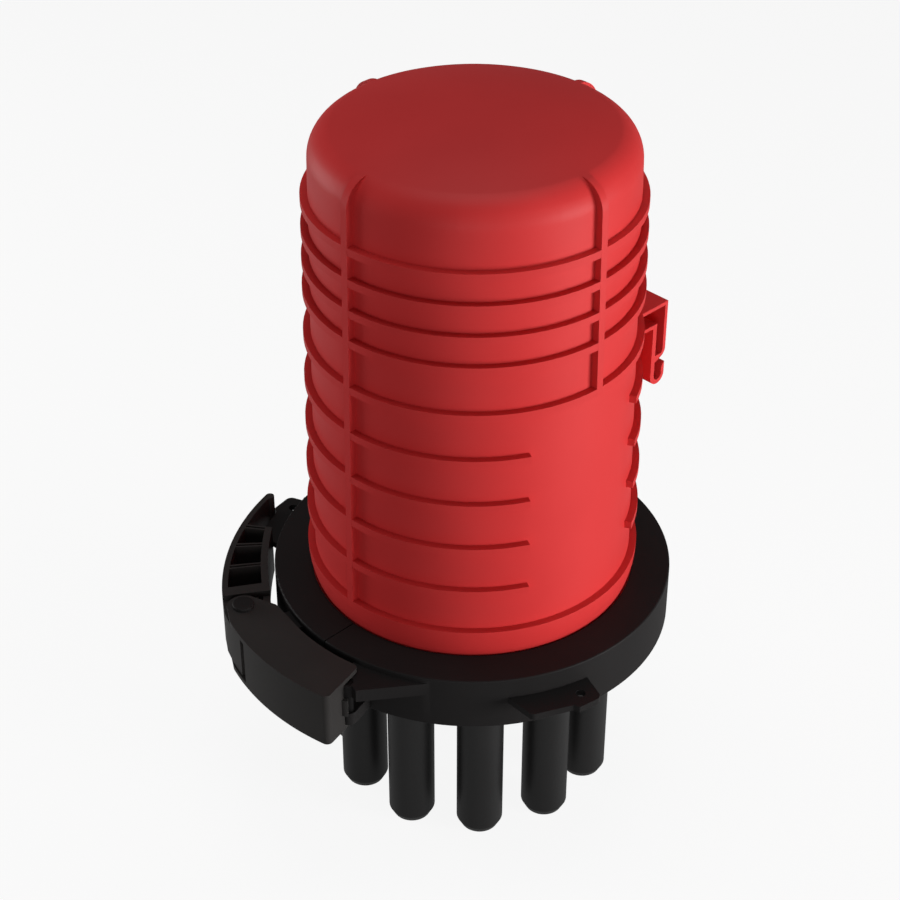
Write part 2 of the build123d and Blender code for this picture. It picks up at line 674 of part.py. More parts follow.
# Latch block: two plates, an outer wall, an end wall and the claw that takes the catch pin
with BuildPart() as latch_block:
    nose_in = polar(BLOCK_FRONT_ANGLE, BLOCK_INNER_R)
    nose_out = polar(BLOCK_FRONT_ANGLE, BLOCK_OUTER_R)
    heel = polar(BLOCK_HEEL_ANGLE, BLOCK_INNER_R)
    tail = polar(BLOCK_TAIL_ANGLE, BLOCK_OUTER_R)
    middle_angle = (BLOCK_FRONT_ANGLE + BLOCK_HEEL_ANGLE) / 2
    with BuildSketch(Plane.XY.offset(BLOCK_BOTTOM)) as block_outline:
        with BuildLine():
            west = about(BLOCK_PIN, 180, BLOCK_BOSS_R)
            north = about(BLOCK_PIN, 60, BLOCK_BOSS_R)
            ThreePointArc(nose_in, polar(middle_angle, BLOCK_INNER_R), heel)
            Polyline(heel, polar(BLOCK_KNEE_ANGLE, RING_R + BLOCK_KNEE_OUT), north)
            ThreePointArc(north, about(BLOCK_PIN, 120, BLOCK_BOSS_R), west)
            Line(west, tail)
            ThreePointArc(tail, polar(middle_angle, BLOCK_OUTER_R), nose_out)
            Line(nose_out, nose_in)
        make_face()
        for corner in (nose_in, nose_out):
            fillet(block_outline.vertices().sort_by_distance((*corner, BLOCK_BOTTOM))[0], BLOCK_CORNER_R)
    extrude(amount=BLOCK_HEIGHT)
    # Hollow between the plates, open towards the ring and past the end of the outer wall
    with BuildSketch(Plane.XY.offset(BLOCK_BOTTOM + BLOCK_PLATE)):
        wall_in = BLOCK_OUTER_R - BLOCK_WALL
        front = BLOCK_FRONT_ANGLE - degrees(BLOCK_WALL / wall_in)
        claw_root = RING_R + CATCH_OUT + CATCH_BOSS_R + CLAW_GAP
        beyond = BLOCK_OUTER_R + BLOCK_WIDTH
        with BuildLine():
            wall_end = polar(BLOCK_WALL_END_ANGLE, wall_in)
            Polyline(
                wall_end,
                polar(BLOCK_WALL_END_ANGLE, beyond),
                polar(BLOCK_PIN_ANGLE - 10, beyond),
                polar(BLOCK_PIN_ANGLE - 10, RING_OPENING_R),
                polar(BLOCK_FRONT_ANGLE + 10, RING_OPENING_R),
                polar(BLOCK_FRONT_ANGLE + 10, claw_root),
                polar(front, claw_root),
                polar(front, wall_in),
            )
            ThreePointArc(polar(front, wall_in), polar(middle_angle, wall_in), wall_end)
        make_face()
    extrude(amount=BLOCK_HEIGHT - 2 * BLOCK_PLATE, mode=Mode.SUBTRACT)
    # Claw round the outer side of the catch pin, between the gussets
    with BuildSketch(Plane.XY.offset(MIDDLE_Z)):
        claw_in = CATCH_PIN_R + CLAW_GAP
        claw_out = claw_in + CLAW_THICK
        first = CATCH_ANGLE - 90 + CLAW_WRAP
        last = CATCH_ANGLE - 90 - CLAW_BACK_WRAP
        with BuildLine():
            CenterArc(CATCH, claw_out, first, last - first)
            Line(about(CATCH, last, claw_out), about(CATCH, last, claw_in))
            CenterArc(CATCH, claw_in, last, first - last)
            Line(about(CATCH, first, claw_in), about(CATCH, first, claw_out))
        make_face()
    extrude(amount=MIDDLE_HEIGHT)
    with BuildSketch(Plane.XY.offset(BLOCK_BOTTOM)):
        with Locations(BLOCK_PIN):
            Circle(BLOCK_PIN_R + PIN_GAP)
    extrude(amount=BLOCK_HEIGHT, mode=Mode.SUBTRACT)
save(latch_block, "latch_block")


# Headed pin of the block with its clip below
with BuildPart() as block_pin:
    clip_z = BLOCK_BOTTOM - CLIP_THICK
    with BuildSketch(Plane.XY.offset(clip_z - CLIP_THICK)):
        with Locations(BLOCK_PIN):
            Circle(BLOCK_PIN_R)
    extrude(amount=BLOCK_HEIGHT + 2 * CLIP_THICK)
    with BuildSketch(Plane.XY.offset(RING_TOP)):
        with Locations(BLOCK_PIN):
            Circle(BLOCK_PIN_HEAD_R)
    extrude(amount=BLOCK_PIN_HEAD)
    fillet(block_pin.edges().group_by(Axis.Z)[-1], PIN_HEAD_EDGE)
save(block_pin, "block_pin")

with BuildPart() as pin_clip:
    with BuildSketch(Plane.XY.offset(clip_z)):
        with Locations(BLOCK_PIN):
            Circle(CLIP_R)
            Circle(BLOCK_PIN_R + PIN_GAP, mode=Mode.SUBTRACT)
    extrude(amount=CLIP_THICK)
save(pin_clip, "pin_clip")


# A thick arc about the lever's long centre, as a closed outline
def lever_arc(outer, inner, start, end):
    CenterArc(LEVER_ARC, outer, start, end - start)
    Line(about(LEVER_ARC, end, outer), about(LEVER_ARC, end, inner))
    CenterArc(LEVER_ARC, inner, end, start - end)
    Line(about(LEVER_ARC, start, inner), about(LEVER_ARC, start, outer))


# Latch lever: open lattice handle, hub between the block plates and arm to the fulcrum
with BuildPart() as latch_lever:
    lever_bottom = RING_TOP - LEVER_HEIGHT
    wall_middle = LEVER_ARC_R - LEVER_WALL / 2
    inner_low = polar(INNER_WALL_LOW, RING_R + INNER_WALL_OUT)
    inner_mid = polar((INNER_WALL_LOW + INNER_WALL_HIGH) / 2, RING_R + INNER_WALL_DIP)
    inner_high = polar(INNER_WALL_HIGH, RING_R + INNER_WALL_OUT)
    back_low = (inner_low[0] - LEVER_INNER_WALL, inner_low[1])
    back_mid = (inner_mid[0] - LEVER_INNER_WALL, inner_mid[1])
    back_high = (inner_high[0] - LEVER_INNER_WALL, inner_high[1])
    with BuildSketch(Plane.XY.offset(lever_bottom)):
        # Outer wall with the finger tail and its rounded tip
        with BuildLine():
            lever_arc(LEVER_ARC_R, LEVER_ARC_R - LEVER_WALL, LEVER_TIP_ANGLE, LEVER_BAR_ANGLE)
        make_face()
        with Locations(about(LEVER_ARC, LEVER_TIP_ANGLE, LEVER_ARC_R - LEVER_TIP_R)):
            Circle(LEVER_TIP_R)
        # End bar over the hub
        with BuildLine():
            bar_out = about(LEVER_ARC, LEVER_BAR_ANGLE, LEVER_ARC_R)
            bar_back = about(LEVER_ARC, LEVER_BAR_ANGLE - degrees(LEVER_BAR / LEVER_ARC_R), wall_middle)
            bar_in = (inner_low[0] - LEVER_INNER_WALL / 2, inner_low[1] + LEVER_BAR)
            Polyline(bar_out, inner_low, bar_in, bar_back, close=True)
        make_face()
        # Pairs of thin cross ribs, cut off inside the inner wall
        for rib_angle, tilt in zip(LEVER_RIB_ANGLES, LEVER_RIB_TILTS):
            for step in (-0.5, 0.5):
                outer = rib_angle + degrees(LEVER_RIB_PITCH / LEVER_ARC_R) * step
                inner = outer - tilt
                half = degrees(LEVER_RIB / LEVER_ARC_R) / 2
                near = LEVER_ARC_R - RIB_LENGTH
                with BuildLine():
                    Polyline(
                        about(LEVER_ARC, outer - half, wall_middle),
                        about(LEVER_ARC, outer + half, wall_middle),
                        about(LEVER_ARC, inner + half, near),
                        about(LEVER_ARC, inner - half, near),
                        close=True,
                    )
                make_face()
        with BuildLine():
            ThreePointArc(back_low, back_mid, back_high)
            trim_edge = inner_high[1] + RIB_TRIM
            trim_high = (inner_high[0] + RIB_TRIM, trim_edge)
            trim_low = (inner_low[0] + RIB_TRIM, inner_low[1])
            Polyline(back_high, inner_high, (inner_high[0], trim_edge), trim_high, trim_low, back_low)
        make_face(mode=Mode.SUBTRACT)
        # Inner wall
        with BuildLine():
            ThreePointArc(inner_low, inner_mid, inner_high)
            Line(inner_high, back_high)
            ThreePointArc(back_high, back_mid, back_low)
            Line(back_low, inner_low)
        make_face()
    extrude(amount=LEVER_HEIGHT)
    # Web across the lattice at half height
    with BuildSketch(Plane.XY.offset(lever_bottom + (LEVER_HEIGHT - LEVER_WEB) / 2)):
        with BuildLine():
            web_end = about(LEVER_ARC, LEVER_RIB_ANGLES[-1], wall_middle)
            web_side = about(LEVER_ARC, (LEVER_BAR_ANGLE + LEVER_RIB_ANGLES[-1]) / 2, wall_middle)
            web_start = about(LEVER_ARC, LEVER_BAR_ANGLE, wall_middle)
            ThreePointArc(web_start, web_side, web_end)
            Polyline(web_end, back_high, back_mid, back_low, web_start)
        make_face()
    extrude(amount=LEVER_WEB)
    # Hub between the plates of the block, the skin beside it and the leg towards the fulcrum
    with BuildSketch(Plane.XY.offset(BLOCK_BOTTOM + BLOCK_PLATE + LEVER_HUB_GAP)):
        with Locations(BLOCK_PIN):
            Circle(LEVER_HUB_R)
        with BuildLine():
            skin_r = BLOCK_OUTER_R - LEVER_SKIN_SETBACK
            skin_in = skin_r - LEVER_SKIN
            skin_middle = (LEVER_SKIN_START + LEVER_SKIN_END) / 2
            skin_root = polar(BLOCK_PIN_ANGLE, skin_in)
            skin_top = polar(LEVER_SKIN_START, skin_r)
            ThreePointArc(polar(LEVER_SKIN_END, skin_r), polar(skin_middle, skin_r), skin_top)
            Polyline(
                skin_top,
                bar_out,
                (bar_out[0] + LEVER_WALL, bar_out[1] + LEVER_WALL),
                about(BLOCK_PIN, 60, LEVER_HUB_R + LEVER_BAR),
                BLOCK_PIN,
                skin_root,
            )
            ThreePointArc(skin_root, polar(skin_middle, skin_in), polar(LEVER_SKIN_END, skin_in))
            Line(polar(LEVER_SKIN_END, skin_in), polar(LEVER_SKIN_END, skin_r))
        make_face()
        with BuildLine():
            leg_foot = (inner_low[0] + LEVER_WALL / 2, inner_low[1] - LEVER_LEG_LENGTH)
            Polyline(inner_low, leg_foot, (leg_foot[0] - LEVER_LEG, leg_foot[1]), back_low, close=True)
        make_face()
    extrude(amount=BLOCK_HEIGHT - 2 * (BLOCK_PLATE + LEVER_HUB_GAP))
    # Arm between the gussets, from the hub to the fulcrum
    with BuildSketch(Plane.XY.offset(MIDDLE_Z)):
        with Locations(FULCRUM):
            Circle(FULCRUM_BOSS_R)
        with BuildLine():
            away = degrees(atan2(FULCRUM[1] - BLOCK_PIN[1], FULCRUM[0] - BLOCK_PIN[0]))
            Polyline(
                about(BLOCK_PIN, away - 90, LEVER_HUB_R),
                about(BLOCK_PIN, away + 90, LEVER_HUB_R),
                about(FULCRUM, away + 90, FULCRUM_BOSS_R),
                about(FULCRUM, away - 90, FULCRUM_BOSS_R),
                close=True,
            )
        make_face()
        with BuildLine():
            Polyline(leg_foot, FULCRUM, BLOCK_PIN, (leg_foot[0] - LEVER_LEG, leg_foot[1]), close=True)
        make_face()
    extrude(amount=MIDDLE_HEIGHT)
    with BuildSketch(Plane.XY.offset(lever_bottom)):
        with Locations(BLOCK_PIN):
            Circle(BLOCK_PIN_R + PIN_GAP)
        with Locations(FULCRUM):
            Circle(FULCRUM_PIN_R + PIN_GAP)
    extrude(amount=LEVER_HEIGHT, mode=Mode.SUBTRACT)
save(latch_lever, "latch_lever")


# Levels and rows inside the dome
CARRIER_TOP = KNUCKLE_Z - KNUCKLE_R - CARRIER_TOP_GAP
TRAY_BOTTOM = FLOOR_TOP + CARRIER_FOOT + TRAY_BOTTOM_GAP
TRAY_HEIGHT = CARRIER_TOP - TRAY_BOTTOM - TRAY_TOP_GAP
TRAY_MIDDLE = TRAY_BOTTOM + TRAY_HEIGHT / 2
BASKET_FRONT = CARRIER_Y + CARRIER_BACK + REST_GAP
STRAP_BACK = BASKET_FRONT + BASKET_DEPTH + REST_GAP
STACK_REACH = sqrt((DOME_WALL_R - DOME_WALL - CARRIER_CLEARANCE) ** 2 - (STRAP_BACK + STRAP_THICK) ** 2)
CARRIER_HALF = STACK_REACH - STRAP_THICK - REST_GAP
TRAY_WIDTH = 2 * (CARRIER_HALF - TRAY_MARGIN)
TRAY_BACKS = [CARRIER_Y - REST_GAP - TRAY_PITCH * number for number in range(TRAY_COUNT)]
ROD_YS = [back - TRAY_DEPTH / 2 for back in TRAY_BACKS]
ROD_Z = TRAY_BOTTOM - HINGE_ROD_DROP
ROD_LENGTH = CHEEK_SPACING + 3 * CHEEK


# Tray carrier: foot on the floor, back plate with edge rims, cheeks for the hinge rods
with BuildPart() as tray_carrier:
    with BuildSketch(Plane.XY.offset(FLOOR_TOP)):
        RectangleRounded(CARRIER_FOOT_WIDTH, CARRIER_FOOT_DEPTH, CARRIER_FOOT_CORNER)
        with Locations(*SCREW_SPOTS):
            Circle(SCREW_R + PIN_GAP, mode=Mode.SUBTRACT)
    extrude(amount=CARRIER_FOOT)
    foot_half = CARRIER_FOOT_WIDTH / 2
    foot_z = FLOOR_TOP + CARRIER_FOOT / 2
    waist = TRAY_BOTTOM + CARRIER_WAIST
    shoulder = waist + CARRIER_HALF - foot_half
    with BuildSketch(Plane.XZ.offset(-CARRIER_Y)):
        with BuildLine():
            Polyline(
                (-foot_half, foot_z),
                (foot_half, foot_z),
                (foot_half, waist),
                (CARRIER_HALF, shoulder),
                (CARRIER_HALF, CARRIER_TOP),
                (-CARRIER_HALF, CARRIER_TOP),
                (-CARRIER_HALF, shoulder),
                (-foot_half, waist),
                close=True,
            )
        make_face()
        # Cable windows
        with Locations((0, TRAY_MIDDLE - GUIDE_FROM_EDGE), (0, TRAY_MIDDLE + GUIDE_FROM_EDGE)):
            SlotCenterToCenter(WINDOW_PITCH, WINDOW_WIDTH, mode=Mode.SUBTRACT)
    extrude(amount=-CARRIER_BACK)
    for side in (-1, 1):
        with BuildSketch(Plane.XY.offset(shoulder)):
            with Locations((side * (CARRIER_HALF - CARRIER_BACK / 2), CARRIER_Y + CARRIER_RIM / 2)):
                Rectangle(CARRIER_BACK, CARRIER_RIM)
        extrude(amount=CARRIER_TOP - shoulder)
        with BuildSketch(Plane.YZ.offset((side * CHEEK_SPACING - CHEEK) / 2)):
            with BuildLine():
                front = ROD_YS[-1] - ROD_BOSS
                Polyline(
                    (CARRIER_Y, foot_z),
                    (CARRIER_Y, ROD_Z + ROD_BOSS),
                    (front, ROD_Z + ROD_BOSS),
                    (front, ROD_Z - ROD_BOSS),
                    (-CARRIER_FOOT_DEPTH / 4, foot_z),
                    close=True,
                )
            make_face()
            with Locations(*[(y, ROD_Z) for y in ROD_YS]):
                Circle(HINGE_ROD_R + PIN_GAP, mode=Mode.SUBTRACT)
        extrude(amount=CHEEK)
save(tray_carrier, "tray_carrier")

with BuildPart() as hinge_rods:
    with BuildSketch(Plane.YZ.offset(-ROD_LENGTH / 2)):
        with Locations(*[(y, ROD_Z) for y in ROD_YS]):
            Circle(HINGE_ROD_R)
    extrude(amount=ROD_LENGTH)
save(hinge_rods, "tray_hinge_rods")


# Round headed screws through a piece that lies on the floor
def floor_screws(label, spots, thick):
    with BuildPart() as screws:
        with BuildSketch(Plane.XY.offset(FLOOR_TOP - SCREW_DEPTH)):
            with Locations(*spots):
                Circle(SCREW_R)
        extrude(amount=SCREW_DEPTH + thick)
        with BuildSketch(Plane.XY.offset(FLOOR_TOP + thick)):
            with Locations(*spots):
                Circle(SCREW_HEAD_R)
        extrude(amount=SCREW_HEAD)
        fillet(screws.edges().group_by(Axis.Z)[-1], SCREW_HEAD_EDGE)
    save(screws, label)


floor_screws("carrier_screws", SCREW_SPOTS, CARRIER_FOOT)


# Splice trays with rims and fibre guides, hinged at the bottom
for number, back in enumerate(TRAY_BACKS):
    floor_y = back - TRAY_FLOOR
    with BuildPart() as tray:
        with BuildSketch(Plane.XZ.offset(-back)):
            with Locations((0, TRAY_MIDDLE)):
                RectangleRounded(TRAY_WIDTH, TRAY_HEIGHT, TRAY_CORNER_R)
        extrude(amount=TRAY_DEPTH)
        with BuildSketch(Plane.XZ.offset(-floor_y)):
            with Locations((0, TRAY_MIDDLE)):
                inner_width = TRAY_WIDTH - 2 * TRAY_FLOOR
                inner_height = TRAY_HEIGHT - 2 * TRAY_FLOOR
                RectangleRounded(inner_width, inner_height, TRAY_CORNER_R - TRAY_FLOOR)
        extrude(amount=TRAY_DEPTH, mode=Mode.SUBTRACT)
        # Half rings that keep the bend radius of the fibres
        for end in (-1, 1):
            guide_z = TRAY_MIDDLE + end * (TRAY_HEIGHT / 2 - GUIDE_FROM_EDGE)
            with BuildSketch(Plane.XZ.offset(-floor_y)):
                with Locations((0, guide_z)):
                    Circle(TRAY_CORNER_R)
                    Circle(TRAY_CORNER_R - TRAY_FLOOR, mode=Mode.SUBTRACT)
                with Locations((0, guide_z - end * TRAY_CORNER_R)):
                    Rectangle(2 * TRAY_CORNER_R, 2 * TRAY_CORNER_R, mode=Mode.SUBTRACT)
            extrude(amount=TRAY_DEPTH - TRAY_FLOOR)
        # Hinge ears inside the cheeks of the carrier
        for side in (-1, 1):
            ear_x = side * (CHEEK_SPACING / 2 - CHEEK - AXIAL_GAP) - CHEEK / 2
            with BuildSketch(Plane.YZ.offset(ear_x)):
                with Locations((ROD_YS[number], (TRAY_BOTTOM + TRAY_FLOOR + ROD_Z - TRAY_EAR_BOSS) / 2)):
                    Rectangle(TRAY_DEPTH, TRAY_BOTTOM + TRAY_FLOOR - ROD_Z + TRAY_EAR_BOSS)
                with Locations((ROD_YS[number], ROD_Z)):
                    Circle(HINGE_ROD_R + PIN_GAP, mode=Mode.SUBTRACT)
            extrude(amount=CHEEK)
    save(tray, f"splice_tray_{number + 1}")


# Combs on the tray floors and the splice sleeves they hold
COMB_MIDDLE = TRAY_BOTTOM + COMB_FROM_EDGE + COMB_HEIGHT / 2
SLEEVE_SPOTS = [
    (SLEEVE_PITCH * (number - (SPLICES_PER_TRAY - 1) / 2), back - TRAY_FLOOR - COMB_DEPTH + SLEEVE_R / 2)
    for back in TRAY_BACKS
    for number in range(SPLICES_PER_TRAY)
]
with BuildPart() as splice_combs:
    with BuildSketch(Plane.XY.offset(COMB_MIDDLE - COMB_HEIGHT / 2)):
        with Locations(*[(0, back - TRAY_FLOOR - COMB_DEPTH / 2) for back in TRAY_BACKS]):
            Rectangle(SPLICES_PER_TRAY * SLEEVE_PITCH, COMB_DEPTH)
        with Locations(*SLEEVE_SPOTS):
            slot = 2 * (SLEEVE_R + PIN_GAP)
            Rectangle(slot, slot, mode=Mode.SUBTRACT)
    extrude(amount=COMB_HEIGHT)
save(splice_combs, "splice_combs")

with BuildPart() as splice_sleeves:
    with BuildSketch(Plane.XY.offset(COMB_MIDDLE - SLEEVE_LENGTH / 2)):
        with Locations(*SLEEVE_SPOTS):
            Circle(SLEEVE_R)
    extrude(amount=SLEEVE_LENGTH)
save(splice_sleeves, "splice_sleeves")

# Cover over the front tray
COVER_Y = TRAY_BACKS[-1] - TRAY_DEPTH - REST_GAP
with BuildPart() as tray_cover:
    with BuildSketch(Plane.XZ.offset(-COVER_Y)):
        with Locations((0, TRAY_MIDDLE)):
            RectangleRounded(TRAY_WIDTH, TRAY_HEIGHT, TRAY_CORNER_R)
    extrude(amount=COVER_THICK)
save(tray_cover, "tray_cover")

# Slack basket for loose tubes on the back plate, open to the rear
with BuildPart() as slack_basket:
    basket_width = 2 * (CARRIER_HALF - CARRIER_BACK - AXIAL_GAP)
    basket_height = TRAY_HEIGHT - 2 * BASKET_INSET
    with BuildSketch(Plane.XZ.offset(-BASKET_FRONT)):
        with Locations((0, TRAY_MIDDLE + BASKET_INSET / 2)):
            RectangleRounded(basket_width, basket_height, TRAY_CORNER_R)
    extrude(amount=-BASKET_DEPTH)
    with BuildSketch(Plane.XZ.offset(-BASKET_FRONT - BASKET_WALL)):
        with Locations((0, TRAY_MIDDLE + BASKET_INSET / 2)):
            hollow_r = TRAY_CORNER_R - BASKET_WALL
            RectangleRounded(basket_width - 2 * BASKET_WALL, basket_height - 2 * BASKET_WALL, hollow_r)
    extrude(amount=-BASKET_DEPTH, mode=Mode.SUBTRACT)
save(slack_basket, "slack_basket")

# Strap round trays, carrier and basket
with BuildPart() as tray_strap:
    strap_front = COVER_Y - COVER_THICK - REST_GAP
    strap_x = 2 * (CARRIER_HALF + REST_GAP)
    strap_y = STRAP_BACK - strap_front
    with BuildSketch(Plane.XY.offset(CARRIER_TOP - STRAP_FROM_TOP - STRAP_WIDTH)):
        with Locations((0, (strap_front + STRAP_BACK) / 2)):
            RectangleRounded(strap_x + 2 * STRAP_THICK, strap_y + 2 * STRAP_THICK, 2 * STRAP_THICK)
            RectangleRounded(strap_x, strap_y, STRAP_THICK, mode=Mode.SUBTRACT)
    extrude(amount=STRAP_WIDTH)
save(tray_strap, "tray_strap")

# Clamps for the strength members of the cables, each with two grooves across it
with BuildPart() as member_clamps:
    with BuildSketch(Plane.XY.offset(FLOOR_TOP)):
        with Locations(*CLAMP_SPOTS):
            Rectangle(MEMBER_CLAMP_WIDTH, MEMBER_CLAMP_DEPTH)
            Circle(SCREW_R + PIN_GAP, mode=Mode.SUBTRACT)
    extrude(amount=MEMBER_CLAMP_HEIGHT)
    for x, y in CLAMP_SPOTS:
        with BuildSketch(Plane.XZ.offset(-y - MEMBER_CLAMP_DEPTH / 2)):
            grooves = (-MEMBER_GROOVE_SPACING / 2, MEMBER_GROOVE_SPACING / 2)
            with Locations(*[(x + offset, FLOOR_TOP + MEMBER_CLAMP_HEIGHT) for offset in grooves]):
                Circle(MEMBER_GROOVE_R)
        extrude(amount=MEMBER_CLAMP_DEPTH, mode=Mode.SUBTRACT)
save(member_clamps, "member_clamps")
floor_screws("clamp_screws", CLAMP_SPOTS, MEMBER_CLAMP_HEIGHT)
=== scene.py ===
import math

import bpy
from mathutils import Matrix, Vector

# Fibre splice closure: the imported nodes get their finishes, then come floor, light and camera
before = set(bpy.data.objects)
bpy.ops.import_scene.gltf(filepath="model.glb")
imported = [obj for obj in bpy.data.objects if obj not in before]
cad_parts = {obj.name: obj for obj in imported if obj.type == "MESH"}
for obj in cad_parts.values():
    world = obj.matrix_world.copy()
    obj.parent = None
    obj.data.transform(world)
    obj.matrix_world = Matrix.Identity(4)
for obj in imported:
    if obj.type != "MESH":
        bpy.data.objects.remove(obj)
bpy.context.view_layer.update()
print("frame loaded:", len(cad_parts), "nodes")

mm = 0.001               # the frame is in metres, the small sizes below in millimetres
scene = bpy.context.scene
plainWhite = (1, 1, 1, 1)
mix = {"factor": 0, "first": 6, "second": 7, "result": 2}        # colour sockets of a Mix node


# sRGB hex value to the linear colour that the shaders take
def linearColour(hexValue):
    parts = [int(hexValue[i:i + 2], 16) / 255 for i in (1, 3, 5)]
    return [p / 12.92 if p <= 0.04045 else ((p + 0.055) / 1.055) ** 2.4 for p in parts] + [1.0]


# A node with its settings (inputs by name or number, else attributes) and its links
def addNode(tree, kind, settings, links=()):
    node = tree.nodes.new(kind)
    for key, value in settings.items():
        if isinstance(key, int) or key in node.inputs:
            node.inputs[key].default_value = value
        else:
            setattr(node, key, value)
    for source, target in links:
        tree.links.new(source, node.inputs[target])
    return node


def emptyMaterial(name):
    material = bpy.data.materials.new(name)
    material.use_nodes = True
    material.node_tree.nodes.clear()
    return material, material.node_tree


# The grain that a spark-eroded mould leaves is about 0.05 mm wide, too fine for the render,
# so each finish draws it 0.5 to 1.2 mm wide and shallow. Sheen is the specular level: 0.5 is all
# of the reflection that the IOR gives, and the outer plastics were matched to less
moulding = {"glossSpread": 0.04, "bumpStrength": 0.35, "grainDetail": 2.0, "flowDetail": 3.0,
            "usualSheen": 0.5, "solidPlastic": 0.0}


# Moulded plastic: fine grain, slow shifts of tone along the flow, gloss that wanders with them
def mouldedPlastic(finish):
    material, tree = emptyMaterial(finish["name"])
    place = addNode(tree, "ShaderNodeTexCoord", {})
    grain = addNode(tree, "ShaderNodeTexNoise",
                    {"Scale": 1 / (finish["grainMm"] * mm), "Detail": moulding["grainDetail"]},
                    [(place.outputs["Object"], "Vector")])
    flow = addNode(tree, "ShaderNodeTexNoise",
                   {"Scale": 1 / (finish["flowMm"] * mm), "Detail": moulding["flowDetail"]},
                   [(place.outputs["Object"], "Vector")])
    tone = addNode(tree, "ShaderNodeMix",
                   {"data_type": "RGBA", mix["first"]: linearColour(finish["dark"]),
                    mix["second"]: linearColour(finish["light"])},
                   [(flow.outputs["Fac"], mix["factor"])])
    gloss = addNode(tree, "ShaderNodeMapRange",
                    {"To Min": finish["roughness"] - moulding["glossSpread"],
                     "To Max": finish["roughness"] + moulding["glossSpread"]},
                    [(flow.outputs["Fac"], "Value")])
    bump = addNode(tree, "ShaderNodeBump",
                   {"Strength": moulding["bumpStrength"], "Distance": finish["grainDepthMm"] * mm},
                   [(grain.outputs["Fac"], "Height")])
    skin = addNode(tree, "ShaderNodeBsdfPrincipled",
                   {"IOR": finish["ior"],
                    "Specular IOR Level": finish.get("sheen", moulding["usualSheen"]),
                    "Transmission Weight": finish.get("clear", moulding["solidPlastic"])},
                   [(tone.outputs[mix["result"]], "Base Color"),
                    (gloss.outputs["Result"], "Roughness"), (bump.outputs["Normal"], "Normal")])
    addNode(tree, "ShaderNodeOutputMaterial", {}, [(skin.outputs[0], "Surface")])
    return material


# Drawn lines are about 0.05 mm apart, too fine for the render, so they are drawn 0.4 mm apart
metalWork = {"glossBelow": 0.06, "glossAbove": 0.08, "bumpStrength": 0.3, "lineDepthMm": 0.01,
             "lineDetail": 3.0}


# Worked metal: fine lines that run along the upright axis, and gloss that follows them
def workedMetal(finish):
    material, tree = emptyMaterial(finish["name"])
    place = addNode(tree, "ShaderNodeTexCoord", {})
    stretch = addNode(tree, "ShaderNodeMapping", {"Scale": (1.0, 1.0, finish["stretch"])},
                      [(place.outputs["Object"], "Vector")])
    lines = addNode(tree, "ShaderNodeTexNoise",
                    {"Scale": 1 / (finish["lineMm"] * mm), "Detail": metalWork["lineDetail"]},
                    [(stretch.outputs["Vector"], "Vector")])
    gloss = addNode(tree, "ShaderNodeMapRange",
                    {"To Min": finish["roughness"] - metalWork["glossBelow"],
                     "To Max": finish["roughness"] + metalWork["glossAbove"]},
                    [(lines.outputs["Fac"], "Value")])
    bump = addNode(tree, "ShaderNodeBump",
                   {"Strength": metalWork["bumpStrength"],
                    "Distance": metalWork["lineDepthMm"] * mm},
                   [(lines.outputs["Fac"], "Height")])
    skin = addNode(tree, "ShaderNodeBsdfPrincipled",
                   {"Base Color": linearColour(finish["tone"]), "Metallic": 1.0},
                   [(gloss.outputs["Result"], "Roughness"), (bump.outputs["Normal"], "Normal")])
    addNode(tree, "ShaderNodeOutputMaterial", {}, [(skin.outputs[0], "Surface")])
    return material


def dress(obj, material):
    obj.data.materials.clear()
    obj.data.materials.append(material)


# Geometry nodes that shade every face smooth, so that only the bevels turn the normals
smoothShading = bpy.data.node_groups.new("smoothShading", "GeometryNodeTree")
for direction in ("INPUT", "OUTPUT"):
    smoothShading.interface.new_socket("Geometry", in_out=direction,
                                       socket_type="NodeSocketGeometry")
raw = addNode(smoothShading, "NodeGroupInput", {})
shaded = addNode(smoothShading, "GeometryNodeSetShadeSmooth", {}, [(raw.outputs[0], "Geometry")])
addNode(smoothShading, "NodeGroupOutput", {}, [(shaded.outputs[0], 0)])

softEdge = {"weldMm": 0.002, "segments": 2, "sharpFromDegrees": 38}


# A CAD node keeps its mesh; welding and a small bevel give it the soft edges of a moulding
def softenEdges(obj, widthMm):
    weld = obj.modifiers.new("weld", "WELD")
    weld.merge_threshold = softEdge["weldMm"] * mm
    smooth = obj.modifiers.new("smooth", "NODES")
    smooth.node_group = smoothShading
    bevel = obj.modifiers.new("edges", "BEVEL")
    bevel.width = widthMm * mm
    bevel.segments = softEdge["segments"]
    bevel.angle_limit = math.radians(softEdge["sharpFromDegrees"])
    normals = obj.modifiers.new("normals", "WEIGHTED_NORMAL")
    normals.mode = "FACE_AREA_WITH_ANGLE"


# Gives nodes their material, and the outer mouldings their soft edges too
def finishNodes(material, names, edgeMm=None):
    for name in names:
        dress(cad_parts[name], material)
        if edgeMm:
            softenEdges(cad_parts[name], edgeMm)
    print("dressed in", material.name + ":", ", ".join(names))


# Dome: moulded polypropylene, red all through, so it stays one even red with a dull satin sheen
domeFinish = {"name": "mouldedPolypropyleneRed", "dark": "#ca3030", "light": "#d63737",
              "ior": 1.49, "sheen": 0.2, "roughness": 0.52,
              "grainMm": 0.7, "grainDepthMm": 0.02, "flowMm": 45.0, "edgeMm": 0.4}
finishNodes(mouldedPlastic(domeFinish), ["dome_cover"], domeFinish["edgeMm"])

